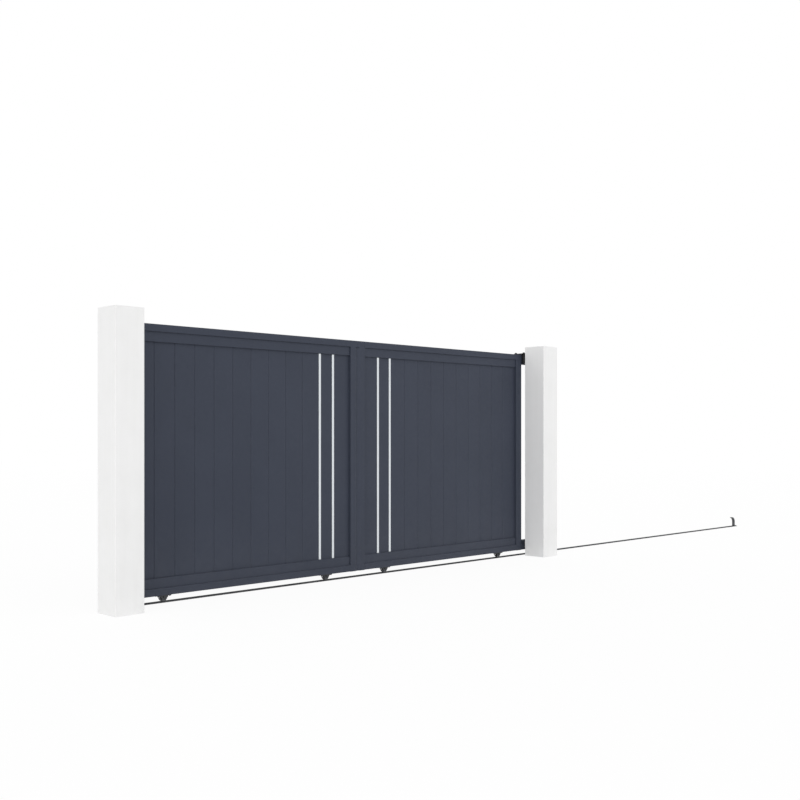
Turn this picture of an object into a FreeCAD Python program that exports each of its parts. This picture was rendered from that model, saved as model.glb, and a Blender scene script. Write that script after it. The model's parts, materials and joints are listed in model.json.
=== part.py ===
import FreeCAD, Part
import math
import os

# Sliding driveway gate: a boarded leaf on four grooved wheels, rolling on a ground rail behind
# two pillars. Sizes are millimetres. X runs along the gate from the closing pillar to the open
# end of the rail, Y from the street to the yard, Z up. The origin is the centre of the closing
# pillar's foot, on the ground. The gate stands closed.

# Passage and pillars
passage_width = 4030.0
pillar_width = 200.0
pillar_depth = 210.0
pillar_above_leaf = 65.0
pillar_edge = 2.5

# Leaf: outer sizes and where it runs
leaf_height = 1761.0
leaf_depth = 60.0
leaf_above_ground = 49.0
closing_overlap = 40.0
pillar_to_leaf = 40.0
tail_length = 226.0

# Leaf frame: stiles, rails with a proud band and a narrower neck, channels that hold the boards
stile_width = 74.0
tail_stile_width = 50.0
frame_wall = 3.0
frame_edge = 2.0
valley_reach = 26.0
valley_depth = 9.0
band_height = 48.0
neck_height = 37.0
neck_setback = 10.0
channel_height = 29.0
channel_wall = 2.0

# Boards and bright strips
board_width = 155.5
board_depth = 16.0
board_wall = 1.6
joint_width = 7.0
joint_depth = 3.0
first_board_width = 148.5
between_strips = 105.0
narrowest_board = 20.0
strip_bed_width = 25.0
strip_width = 20.0
strip_depth = 4.0
strip_inlay = 2.0
strip_edge = 0.8
strip_end_gap = 1.0

# Ground rail: a flat base with a round bead on it
rail_base_width = 40.0
rail_base_depth = 3.0
bead_radius = 8.0
rail_start = 10.0
rail_end_past_stop = 56.0
rail_lengths = 2
anchor_hole_radius = 3.5
anchor_from_centre = 14.0
anchor_from_end = 80.0
anchor_bays = 4

# Wheels and their carriages
inner_wheel_from_middle = 306.0
outer_wheel_from_middle = 1708.0
wheel_flange_radius = 30.0
wheel_width = 20.0
wheel_hub_radius = 11.0
wheel_rim_radius = 20.0
wheel_web = 8.0
wheel_edge = 1.0
axle_radius = 5.0
axle_height = 38.0
axle_collar_radius = 8.0
axle_head_radius = 7.0
axle_head_depth = 3.0
cheek_depth = 3.0
cheek_top_length = 66.0
cheek_foot_length = 26.0
cheek_above_ground = 16.0
cheek_corner = 6.0
carriage_plate_length = 104.0
carriage_plate_width = 50.0
carriage_plate_depth = 4.0
carriage_corner = 5.0

# Guide over the top rail at the far pillar
guide_plate_length = 220.0
guide_plate_depth = 6.0
guide_plate_edge = 8.0
guide_corner = 30.0
guide_above_leaf = 6.0
guide_flange_length = 130.0
guide_flange_height = 120.0
guide_flange_hole_radius = 5.5
guide_flange_hole_inset = 25.0
guide_roller_spacing = 170.0
guide_roller_radius = 14.0
guide_roller_length = 75.0
guide_roller_edge = 2.0
guide_stud_radius = 6.0
guide_nut_radius = 9.0
guide_nut_depth = 4.0

# Receiving channel that the closing end of the leaf runs into, and its soft buffer
receiver_plate = 4.0
receiver_flange_length = 90.0
receiver_arm_length = 45.0
receiver_short_of_leaf = 60.0
receiver_bend = 3.0
receiver_holes = 4
receiver_hole_radius = 4.5
receiver_hole_from_edge = 18.0
receiver_hole_from_end = 80.0
buffer_width = 36.0
buffer_depth = 8.0
buffer_edge = 4.0

# Hooked stop at the open end
stop_position = 8194.0
stop_width = 30.0
stop_depth = 8.0
stop_height = 110.0
stop_foot_length = 40.0
stop_hook_radius = 56.0

# Clearances
seat_gap = 0.3
running_gap = 0.05
guide_gap = 0.8
moving_gap = 5.0

# Places that follow from the sizes
pillar_back = pillar_depth / 2
passage_start = pillar_width / 2
passage_end = passage_start + passage_width
far_pillar = passage_end + pillar_width / 2
middle = (passage_start + passage_end) / 2
leaf_front = pillar_back + pillar_to_leaf
leaf_back = leaf_front + leaf_depth
gate_line = (leaf_front + leaf_back) / 2
leaf_start = passage_start - closing_overlap
leaf_end = passage_end
tail_end = leaf_end + tail_length
leaf_bottom = leaf_above_ground
leaf_top = leaf_bottom + leaf_height
pillar_height = leaf_top + pillar_above_leaf
rail_height = band_height + neck_height
sight_height = rail_height + channel_height
bead_top = rail_base_depth + bead_radius
board_front = gate_line - board_depth / 2
stop_near_face = stop_position - stop_depth / 2
stop_far_face = stop_position + stop_depth / 2
hook_tip = stop_far_face - stop_hook_radius
slide_range = hook_tip - moving_gap - tail_end
rail_end = stop_position + rail_end_past_stop
wheel_reach = wheel_flange_radius + moving_gap
wheel_side = wheel_width / 2 + moving_gap

along_x = FreeCAD.Vector(1, 0, 0)
along_y = FreeCAD.Vector(0, 1, 0)
along_z = FreeCAD.Vector(0, 0, 1)


def point(x, y, z):
    return FreeCAD.Vector(x, y, z)


def box(x0, x1, y0, y1, z0, z1):
    """Block between two opposite corners."""
    return Part.makeBox(x1 - x0, y1 - y0, z1 - z0, point(x0, y0, z0))


def outline(points):
    """Closed wire of straight lines."""
    return Part.makePolygon(points + points[:1])


def holed_face(outer, holes):
    """Flat face with holes through it."""
    return Part.makeFace([outer] + holes, "Part::FaceMakerBullseye")


def edges_along(shape, direction):
    """Straight edges of a shape that run along one axis."""
    found = []
    for edge in shape.Edges:
        if edge.Curve.TypeId != "Part::GeomLine":
            continue
        run = edge.Vertexes[-1].Point - edge.Vertexes[0].Point
        if abs(abs(run.normalize().dot(direction)) - 1) < 1e-6:
            found.append(edge)
    return found


# Pillars

def pillar(x):
    """Pillar with eased corners and an eased flat top."""
    half = pillar_width / 2
    body = box(x - half, x + half, -pillar_back, pillar_back, 0, pillar_height)
    body = body.makeChamfer(pillar_edge, edges_along(body, along_z))
    top = [edge for edge in body.Edges if edge.BoundBox.ZMin > pillar_height - 1e-6]
    return body.makeChamfer(pillar_edge / 2, top)


# Ground rail

def base_section(x):
    """Section of the rail's flat base."""
    near = gate_line - rail_base_width / 2
    far = gate_line + rail_base_width / 2
    return outline([
        point(x, near, 0),
        point(x, far, 0),
        point(x, far, rail_base_depth),
        point(x, near, rail_base_depth),
    ])


def bead_section(x):
    """Half-round section of the bead that the wheels run on."""
    near = point(x, gate_line - bead_radius, rail_base_depth)
    far = point(x, gate_line + bead_radius, rail_base_depth)
    crown = Part.Arc(near, point(x, gate_line, bead_top), far).toShape()
    return Part.Wire([crown, Part.makeLine(far, near)])


def ground_rail(x0, x1):
    """Length of rail with anchor holes in pairs. The bead ends short of the stop."""
    bead_end = min(x1, stop_near_face - seat_gap)
    base = Part.Face(base_section(x0)).extrude(along_x * (x1 - x0))
    bead = Part.Face(bead_section(x0)).extrude(along_x * (bead_end - x0))
    rail = base.fuse(bead)
    pitch = (x1 - x0 - 2 * anchor_from_end) / anchor_bays
    holes = []
    for bay in range(anchor_bays + 1):
        x = x0 + anchor_from_end + bay * pitch
        for side in (-1, 1):
            centre = point(x, gate_line + side * anchor_from_centre, 0)
            holes.append(Part.makeCylinder(anchor_hole_radius, rail_base_depth, centre))
    return rail.cut(holes)


def open_end_stop():
    """Flat bar bent into a foot, an upright and a hook that leans towards the gate."""
    outer = stop_hook_radius
    inner = stop_hook_radius - stop_depth
    foot = rail_base_depth
    bend_z = stop_height - outer
    slant = math.sqrt(0.5)
    lower = Part.makePolygon([
        point(stop_near_face, 0, bend_z),
        point(stop_near_face, 0, foot),
        point(stop_far_face + stop_foot_length, 0, foot),
        point(stop_far_face + stop_foot_length, 0, foot + stop_depth),
        point(stop_far_face, 0, foot + stop_depth),
        point(stop_far_face, 0, bend_z),
    ])
    outer_arc = Part.Arc(
        point(stop_far_face, 0, bend_z),
        point(hook_tip + outer * slant, 0, bend_z + outer * slant),
        point(hook_tip, 0, stop_height),
    ).toShape()
    tip = Part.makeLine(point(hook_tip, 0, stop_height), point(hook_tip, 0, stop_height - stop_depth))
    inner_arc = Part.Arc(
        point(hook_tip, 0, stop_height - stop_depth),
        point(hook_tip + inner * slant, 0, bend_z + inner * slant),
        point(stop_near_face, 0, bend_z),
    ).toShape()
    section = Part.Face(Part.Wire(lower.Edges + [outer_arc, tip, inner_arc]))
    section.translate(along_y * (gate_line - stop_width / 2))
    return section.extrude(along_y * stop_width)


# Leaf frame

def wheel_places():
    """Place of each wheel along the gate."""
    offsets = (
        -outer_wheel_from_middle,
        -inner_wheel_from_middle,
        inner_wheel_from_middle,
        outer_wheel_from_middle,
    )
    return [middle + offset for offset in offsets]


def rail_section(edge_z, inward):
    """Hollow section of a top or bottom rail: a proud band and a narrower neck towards the boards."""
    def ring(inset):
        band = leaf_depth / 2 - inset
        neck = leaf_depth / 2 - neck_setback - inset
        outer_z = edge_z + inward * inset
        step_z = edge_z + inward * (band_height - inset)
        inner_z = edge_z + inward * (rail_height - inset)
        return outline([
            point(0, gate_line - band, outer_z),
            point(0, gate_line + band, outer_z),
            point(0, gate_line + band, step_z),
            point(0, gate_line + neck, step_z),
            point(0, gate_line + neck, inner_z),
            point(0, gate_line - neck, inner_z),
            point(0, gate_line - neck, step_z),
            point(0, gate_line - band, step_z),
        ])
    return holed_face(ring(0), [ring(frame_wall)])


def leaf_rail(x0, x1, edge_z, inward):
    """Rail between two stiles, with eased edges on its proud band."""
    section = rail_section(edge_z, inward)
    section.translate(along_x * x0)
    rail = section.extrude(along_x * (x1 - x0))
    band_edges = []
    for edge in edges_along(rail, along_x):
        place = edge.CenterOfMass
        if abs(abs(place.y - gate_line) - leaf_depth / 2) < 1e-6:
            band_edges.append(edge)
    return rail.makeFillet(frame_edge, band_edges)


def wheel_slots(rail, x0, x1):
    """Slots in the underside of a bottom rail, one round each wheel that falls in its length."""
    near = gate_line - wheel_side
    far = gate_line + wheel_side
    for x in wheel_places():
        if x0 < x < x1:
            slot = box(x - wheel_reach, x + wheel_reach, near, far, leaf_bottom, leaf_bottom + frame_wall)
            rail = rail.cut(slot)
    return rail


def valley_wedge(side, wall, height):
    """Wedge between the street face and the slope to the meeting line, moved in by a wall."""
    slope = math.hypot(valley_reach, valley_depth)
    grown = 1 + wall * slope / (valley_reach * valley_depth)
    wedge = outline([
        point(middle, leaf_front, leaf_bottom),
        point(middle + side * valley_reach * grown, leaf_front, leaf_bottom),
        point(middle, leaf_front + valley_depth * grown, leaf_bottom),
    ])
    return Part.Face(wedge).extrude(along_z * height)


def stile(x0, width):
    """Upright of the leaf: a tube closed at the top, with eased edges."""
    tube = box(x0, x0 + width, leaf_front, leaf_back, leaf_bottom, leaf_top)
    return tube.makeFillet(frame_edge, edges_along(tube, along_z)).cut(stile_hollow(x0, width))


def stile_hollow(x0, width):
    """Inside of a stile."""
    return box(
        x0 + frame_wall,
        x0 + width - frame_wall,
        leaf_front + frame_wall,
        leaf_back - frame_wall,
        leaf_bottom,
        leaf_top - frame_wall,
    )


def meeting_stile(side):
    """Stile beside the meeting line. Below the top band its face slopes back to that line."""
    x0 = min(middle, middle + side * stile_width)
    tube = box(x0, x0 + stile_width, leaf_front, leaf_back, leaf_bottom, leaf_top)
    tube = tube.makeFillet(frame_edge, edges_along(tube, along_z))
    tube = tube.cut(valley_wedge(side, 0, leaf_height - band_height))
    return tube.cut(stile_hollow(x0, stile_width).cut(valley_wedge(side, frame_wall, leaf_height)))


def channel(x0, x1, edge_z, inward):
    """Double-walled channel that the ends of the boards stand in."""
    half = leaf_depth / 2 - neck_setback
    slot = board_depth / 2 + seat_gap
    web_z = edge_z + inward * rail_height
    floor_z = web_z + inward * channel_wall
    mouth_z = edge_z + inward * sight_height
    near = gate_line - half
    far = gate_line + half
    section = outline([
        point(x0, near, web_z),
        point(x0, far, web_z),
        point(x0, far, mouth_z),
        point(x0, gate_line + slot, mouth_z),
        point(x0, gate_line + slot, floor_z),
        point(x0, gate_line - slot, floor_z),
        point(x0, gate_line - slot, mouth_z),
        point(x0, near, mouth_z),
    ])
    body = Part.Face(section).extrude(along_x * (x1 - x0))
    low = min(floor_z, mouth_z - inward * channel_wall)
    high = max(floor_z, mouth_z - inward * channel_wall)
    for side in (-1, 1):
        inner = gate_line + side * (slot + channel_wall)
        outer = gate_line + side * (half - channel_wall)
        body = body.cut(box(x0, x1, min(inner, outer), max(inner, outer), low, high))
    return body


# Boards and strips. Distances run outwards from the middle of the leaf.

def board_cells(side):
    """Start, end and kind of each board and strip bed from the meeting stile to the outer stile."""
    position = stile_width
    outer_edge = leaf_end if side > 0 else leaf_start
    last = abs(outer_edge - middle) - stile_width
    cells = []
    for width, kind in (
        (first_board_width, "board"),
        (strip_bed_width, "strip"),
        (between_strips, "board"),
        (strip_bed_width, "strip"),
    ):
        cells.append((position, position + width, kind))
        position += width
    while last - position - board_width > narrowest_board:
        cells.append((position, position + board_width, "board"))
        position += board_width
    cells.append((position, last, "board"))
    return cells


def boards(side):
    """Field of boards on one side of the middle, with a V joint at the edge of each board."""
    cells = board_cells(side)
    front = board_front
    back = board_front + board_depth
    half_joint = joint_width / 2
    bottom = leaf_bottom + rail_height + channel_wall + seat_gap
    top = leaf_top - rail_height - channel_wall - seat_gap
    front_line = [point(cells[0][0], front, bottom)]
    back_line = [point(cells[0][0], back, bottom)]
    for (start, end, kind), (_, _, next_kind) in zip(cells, cells[1:]):
        if kind == "strip":
            front_line.append(point(start, front + strip_inlay, bottom))
            front_line.append(point(end, front + strip_inlay, bottom))
            front_line.append(point(end, front, bottom))
        elif next_kind == "strip":
            front_line.append(point(end, front, bottom))
        else:
            front_line.append(point(end - half_joint, front, bottom))
            front_line.append(point(end, front + joint_depth, bottom))
            front_line.append(point(end + half_joint, front, bottom))
        back_line.append(point(end - half_joint, back, bottom))
        back_line.append(point(end, back - joint_depth, bottom))
        back_line.append(point(end + half_joint, back, bottom))
    front_line.append(point(cells[-1][1], front, bottom))
    back_line.append(point(cells[-1][1], back, bottom))
    hollows = []
    inset = half_joint + board_wall
    for start, end, kind in cells:
        if kind == "board":
            hollows.append(outline([
                point(start + inset, front + board_wall, bottom),
                point(end - inset, front + board_wall, bottom),
                point(end - inset, back - board_wall, bottom),
                point(start + inset, back - board_wall, bottom),
            ]))
    section = holed_face(outline(front_line + back_line[::-1]), hollows)
    field = section.extrude(along_z * (top - bottom))
    if side < 0:
        field = field.mirror(point(0, 0, 0), along_x)
    field.translate(along_x * middle)
    return field


def bright_strip(side, bed_start):
    """Flat bar with eased edges, in the middle of its bed in the face of the boards."""
    reveal = (strip_bed_width - strip_width) / 2
    inner = middle + side * (bed_start + reveal)
    outer = middle + side * (bed_start + strip_bed_width - reveal)
    bed = board_front + strip_inlay
    low = leaf_bottom + sight_height + strip_end_gap
    high = leaf_top - sight_height - strip_end_gap
    bar = box(min(inner, outer), max(inner, outer), bed - strip_depth, bed, low, high)
    front_edges = []
    for edge in bar.Edges:
        if edge.BoundBox.YMax < bed - strip_depth / 2:
            front_edges.append(edge)
    return bar.makeChamfer(strip_edge, front_edges)


# Wheels, axles and carriages. Each is made about its own axle and then set under the leaf.

def groove_height(radius):
    """Half width of the groove at a distance from the axle."""
    groove = bead_radius + seat_gap
    depth = axle_height - rail_base_depth - radius
    return math.sqrt(groove ** 2 - depth ** 2)


def wheel(x):
    """Grooved wheel turned about its axle: hub, thin web and a rim that fits over the bead."""
    groove = bead_radius + seat_gap
    root = axle_height - rail_base_depth - groove
    lip = groove_height(wheel_flange_radius)
    half = wheel_width / 2
    web = wheel_web / 2
    bore = axle_radius + running_gap
    flange = wheel_flange_radius
    lines = Part.makePolygon([
        point(flange, lip, 0),
        point(flange, half - wheel_edge, 0),
        point(flange - wheel_edge, half, 0),
        point(wheel_rim_radius, half, 0),
        point(wheel_rim_radius, web, 0),
        point(wheel_hub_radius, web, 0),
        point(wheel_hub_radius, half, 0),
        point(bore, half, 0),
        point(bore, -half, 0),
        point(wheel_hub_radius, -half, 0),
        point(wheel_hub_radius, -web, 0),
        point(wheel_rim_radius, -web, 0),
        point(wheel_rim_radius, -half, 0),
        point(flange - wheel_edge, -half, 0),
        point(flange, wheel_edge - half, 0),
        point(flange, -lip, 0),
    ])
    trough = Part.Arc(point(flange, -lip, 0), point(root, 0, 0), point(flange, lip, 0)).toShape()
    turned = Part.Face(Part.Wire(lines.Edges + [trough])).revolve(point(0, 0, 0), along_y, 360)
    turned.translate(point(x, gate_line, axle_height))
    return turned


def wheel_axle(x):
    """Axle with a head outside each cheek and a collar between each cheek and the wheel."""
    cheek_inner = wheel_side
    cheek_outer = wheel_side + cheek_depth
    end = cheek_outer + axle_head_depth
    hub = wheel_width / 2 + seat_gap
    profile = [
        point(0, -end, 0),
        point(axle_head_radius, -end, 0),
        point(axle_head_radius, -cheek_outer, 0),
        point(axle_radius, -cheek_outer, 0),
        point(axle_radius, -cheek_inner, 0),
        point(axle_collar_radius, -cheek_inner, 0),
        point(axle_collar_radius, -hub, 0),
        point(axle_radius, -hub, 0),
        point(axle_radius, hub, 0),
        point(axle_collar_radius, hub, 0),
        point(axle_collar_radius, cheek_inner, 0),
        point(axle_radius, cheek_inner, 0),
        point(axle_radius, cheek_outer, 0),
        point(axle_head_radius, cheek_outer, 0),
        point(axle_head_radius, end, 0),
        point(0, end, 0),
    ]
    axle = Part.Face(outline(profile)).revolve(point(0, 0, 0), along_y, 360)
    axle.translate(point(x, gate_line, axle_height))
    return axle


def cheek(x, y):
    """Side plate of a carriage: a trapezoid with round lower corners and the axle hole."""
    top = leaf_bottom - carriage_plate_depth
    foot = cheek_above_ground
    plate = Part.Face(outline([
        point(x - cheek_foot_length / 2, y, foot),
        point(x + cheek_foot_length / 2, y, foot),
        point(x + cheek_top_length / 2, y, top),
        point(x - cheek_top_length / 2, y, top),
    ])).extrude(along_y * cheek_depth)
    corners = [edge for edge in edges_along(plate, along_y) if edge.BoundBox.ZMax < foot + 1e-6]
    plate = plate.makeFillet(cheek_corner, corners)
    hole = Part.makeCylinder(axle_radius + running_gap, cheek_depth, point(x, y, axle_height), along_y)
    return plate.cut(hole)


def wheel_carriage(x):
    """Plate bolted under the leaf, with a window for the wheel and a cheek on each side of it."""
    top = leaf_bottom
    bottom = leaf_bottom - carriage_plate_depth
    length = carriage_plate_length / 2
    width = carriage_plate_width / 2
    plate = box(x - length, x + length, gate_line - width, gate_line + width, bottom, top)
    plate = plate.makeFillet(carriage_corner, edges_along(plate, along_z))
    near = gate_line - wheel_side
    far = gate_line + wheel_side
    plate = plate.cut(box(x - wheel_reach, x + wheel_reach, near, far, bottom, top))
    return plate.fuse([cheek(x, near - cheek_depth), cheek(x, far)])


# Guide over the top rail

def guide_roller_places():
    """Centre of each guide roller, two in front of the leaf and two behind it."""
    reach = guide_gap + guide_roller_radius
    places = []
    for along in (-1, 1):
        for y in (leaf_front - reach, leaf_back + reach):
            places.append((far_pillar + along * guide_roller_spacing / 2, y))
    return places


def guide_bracket():
    """Plate over the leaf, bent down on the pillar's back, with a stud for each roller."""
    low = leaf_top + guide_above_leaf
    high = low + guide_plate_depth
    half = guide_plate_length / 2
    back = leaf_back + guide_gap + 2 * guide_roller_radius + guide_plate_edge
    plate = box(far_pillar - half, far_pillar + half, pillar_back, back, low, high)
    far_corners = []
    for edge in edges_along(plate, along_z):
        if edge.CenterOfMass.y > gate_line:
            far_corners.append(edge)
    plate = plate.makeFillet(guide_corner, far_corners)
    reach = guide_flange_length / 2
    foot = high - guide_flange_height
    flange_back = pillar_back + guide_plate_depth
    flange = box(far_pillar - reach, far_pillar + reach, pillar_back, flange_back, foot, high)
    holes = []
    for along in (-1, 1):
        for z in (foot + guide_flange_hole_inset, low - guide_flange_hole_inset):
            x = far_pillar + along * (reach - guide_flange_hole_inset)
            centre = point(x, pillar_back, z)
            holes.append(Part.makeCylinder(guide_flange_hole_radius, guide_plate_depth, centre, along_y))
    studs = []
    stud_foot = low - seat_gap - guide_roller_length - seat_gap - guide_nut_depth
    for x, y in guide_roller_places():
        studs.append(Part.makeCylinder(guide_stud_radius, low - stud_foot, point(x, y, stud_foot)))
        studs.append(Part.makeCylinder(guide_nut_radius, guide_nut_depth, point(x, y, stud_foot)))
    return plate.fuse([flange] + studs).cut(holes)


def guide_roller(x, y):
    """Plain roller with eased rims, on its stud."""
    top = leaf_top + guide_above_leaf - seat_gap
    foot = top - guide_roller_length
    bore = guide_stud_radius + running_gap
    rim = guide_roller_radius
    eased = guide_roller_edge
    profile = outline([
        point(bore, 0, foot),
        point(rim - eased, 0, foot),
        point(rim, 0, foot + eased),
        point(rim, 0, top - eased),
        point(rim - eased, 0, top),
        point(bore, 0, top),
    ])
    roller = Part.Face(profile).revolve(point(0, 0, 0), along_z, 360)
    roller.translate(point(x, y, 0))
    return roller


# Receiving channel on the closing pillar

receiver_web = leaf_start - seat_gap - buffer_depth
receiver_bottom = leaf_bottom + receiver_short_of_leaf
receiver_top = leaf_top - receiver_short_of_leaf


def receiving_channel():
    """Bent plate on the pillar's back whose two arms take the closing stile between them."""
    web_back = receiver_web - receiver_plate
    near_arm = leaf_front - moving_gap
    far_arm = leaf_back + moving_gap
    arm_end = receiver_web + receiver_arm_length
    flange_end = receiver_web - receiver_flange_length
    section = outline([
        point(flange_end, pillar_back, receiver_bottom),
        point(receiver_web, pillar_back, receiver_bottom),
        point(receiver_web, near_arm - receiver_plate, receiver_bottom),
        point(arm_end, near_arm - receiver_plate, receiver_bottom),
        point(arm_end, near_arm, receiver_bottom),
        point(receiver_web, near_arm, receiver_bottom),
        point(receiver_web, far_arm, receiver_bottom),
        point(arm_end, far_arm, receiver_bottom),
        point(arm_end, far_arm + receiver_plate, receiver_bottom),
        point(web_back, far_arm + receiver_plate, receiver_bottom),
        point(web_back, pillar_back + receiver_plate, receiver_bottom),
        point(flange_end, pillar_back + receiver_plate, receiver_bottom),
    ])
    body = Part.Face(section).extrude(along_z * (receiver_top - receiver_bottom))
    bends = []
    for edge in edges_along(body, along_z):
        place = edge.CenterOfMass
        far_bend = abs(place.x - web_back) < 1e-6 and place.y > far_arm
        near_bend = abs(place.x - receiver_web) < 1e-6 and place.y < pillar_back + 1e-6
        if far_bend or near_bend:
            bends.append(edge)
    body = body.makeFillet(receiver_bend, bends)
    lowest = receiver_bottom + receiver_hole_from_end
    pitch = (receiver_top - receiver_hole_from_end - lowest) / (receiver_holes - 1)
    for index in range(receiver_holes):
        centre = point(flange_end + receiver_hole_from_edge, pillar_back, lowest + index * pitch)
        body = body.cut(Part.makeCylinder(receiver_hole_radius, receiver_plate, centre, along_y))
    return body


def receiving_buffer():
    """Rubber strip on the channel's web that the closing stile rests against."""
    near = gate_line - buffer_width / 2
    far = gate_line + buffer_width / 2
    strip = box(receiver_web, receiver_web + buffer_depth, near, far, receiver_bottom, receiver_top)
    front = [edge for edge in edges_along(strip, along_z) if edge.CenterOfMass.x > receiver_web + 1e-6]
    return strip.makeFillet(buffer_edge, front)


# The assembly

left_inner = leaf_start + stile_width
left_meeting = middle - stile_width
right_meeting = middle + stile_width
right_inner = leaf_end - stile_width
tail_inner = tail_end - tail_stile_width

pieces = {
    "left_pillar": pillar(0),
    "right_pillar": pillar(far_pillar),
    "open_end_stop": open_end_stop(),
    "receiving_channel": receiving_channel(),
    "receiving_buffer": receiving_buffer(),
    "guide_bracket": guide_bracket(),
    "left_stile": stile(leaf_start, stile_width),
    "meeting_stile_left": meeting_stile(-1),
    "meeting_stile_right": meeting_stile(1),
    "right_stile": stile(right_inner, stile_width),
    "tail_stile": stile(tail_inner, tail_stile_width),
    "left_boards": boards(-1),
    "right_boards": boards(1),
}

rail_step = (rail_end - rail_start) / rail_lengths
for index in range(rail_lengths):
    rail_x = rail_start + index * rail_step
    pieces["ground_rail_%d" % (index + 1)] = ground_rail(rail_x, rail_x + rail_step)

for name, x0, x1 in (
    ("left", left_inner, left_meeting),
    ("right", right_meeting, right_inner),
    ("tail", leaf_end, tail_inner),
):
    pieces["top_rail_" + name] = leaf_rail(x0, x1, leaf_top, -1)
    pieces["bottom_rail_" + name] = wheel_slots(leaf_rail(x0, x1, leaf_bottom, 1), x0, x1)
    if name != "tail":
        pieces["upper_channel_" + name] = channel(x0, x1, leaf_top, -1)
        pieces["lower_channel_" + name] = channel(x0, x1, leaf_bottom, 1)

bed_starts = [start for start, end, kind in board_cells(1) if kind == "strip"]
strip_places = [(-1, start) for start in reversed(bed_starts)] + [(1, start) for start in bed_starts]
for index, (side, bed_start) in enumerate(strip_places):
    pieces["bright_strip_%d" % (index + 1)] = bright_strip(side, bed_start)

for index, wheel_x in enumerate(wheel_places()):
    pieces["wheel_carriage_%d" % (index + 1)] = wheel_carriage(wheel_x)
    pieces["wheel_axle_%d" % (index + 1)] = wheel_axle(wheel_x)
    pieces["wheel_%d" % (index + 1)] = wheel(wheel_x)

for index, (x, y) in enumerate(guide_roller_places()):
    pieces["guide_roller_%d" % (index + 1)] = guide_roller(x, y)

os.makedirs("parts", exist_ok=True)
for name, shape in pieces.items():
    shape.exportStep("parts/%s.step" % name)
    print("%-22s %d solid  %9.1f cm3" % (name, len(shape.Solids), shape.Volume / 1000))
print("slide range %.1f mm, wheel rolling radius %.1f mm" % (slide_range, axle_height - bead_top - seat_gap))
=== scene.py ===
# %% [markdown]
# # Dressing a sliding driveway gate
# The gate is already built to size: two pillars, a ground rail, a boarded leaf on four grooved
# wheels, and the guide that keeps the leaf upright. That model is loaded here as a fixed frame.
# This lesson gives every surface its finish, adds the bolts, screws, plugs and weld beads that a
# fitter would put in, and then sets up the light and the camera. Nothing that is loaded is moved.

# %% Load the gate
import json
import math

import bmesh
import bpy
from mathutils import Matrix, Vector


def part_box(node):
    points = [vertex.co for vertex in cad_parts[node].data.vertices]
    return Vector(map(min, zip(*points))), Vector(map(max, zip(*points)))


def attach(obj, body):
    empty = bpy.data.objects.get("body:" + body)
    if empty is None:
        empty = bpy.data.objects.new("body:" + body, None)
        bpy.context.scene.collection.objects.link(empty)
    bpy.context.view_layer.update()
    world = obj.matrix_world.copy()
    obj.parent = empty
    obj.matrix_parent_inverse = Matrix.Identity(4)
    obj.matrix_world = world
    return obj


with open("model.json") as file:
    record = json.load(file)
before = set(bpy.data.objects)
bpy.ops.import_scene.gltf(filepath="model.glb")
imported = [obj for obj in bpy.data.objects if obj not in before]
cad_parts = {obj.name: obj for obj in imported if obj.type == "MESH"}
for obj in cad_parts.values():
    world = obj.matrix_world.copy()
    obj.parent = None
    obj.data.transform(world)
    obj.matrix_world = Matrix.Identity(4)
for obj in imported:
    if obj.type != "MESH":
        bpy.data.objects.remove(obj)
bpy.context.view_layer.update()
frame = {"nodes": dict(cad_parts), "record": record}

nodes = frame["nodes"]

# %% [markdown]
# ## Measures taken from the gate
# A bolt has to sit in its hole, so its place is worked out from the pieces that it holds. It could
# be typed in, but then it would be wrong for a gate of another size. The box round a loaded piece
# gives its two corners. What a box can't tell, such as how far a hole is from an edge, is named
# where it is first needed. Everything is in metres, and millimetres are written with a factor
# because small hardware is easier to read that way.

# %% Measures
MM = 0.001

stile_low, stile_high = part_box("right_stile")
gate_line = (stile_low.y + stile_high.y) / 2
leaf_bottom = stile_low.z
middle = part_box("meeting_stile_left")[1].x
pillar_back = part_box("left_pillar")[1].y
wheel_centres = []
for number in range(1, 5):
    low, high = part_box("wheel_%d" % number)
    wheel_centres.append((low + high) / 2)
print("middle of the leaf", round(middle, 3), "gate line", round(gate_line, 3))

# %% [markdown]
# ## A small kit for finishes
# Every finish here is procedural: its colour, gloss and grain come from noise patterns that are
# worked out from a point's place on the object, so no picture is needed and the grain keeps its
# true size. Photographs wrapped on the surfaces would be another way, but they would need
# unwrapping and would stretch on a four metre leaf. One class holds the steps that every finish
# repeats: starting a material, a noise pattern, arithmetic on patterns, a ramp that turns a
# pattern into colours or values, and a bump that turns it into fine relief.

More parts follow.
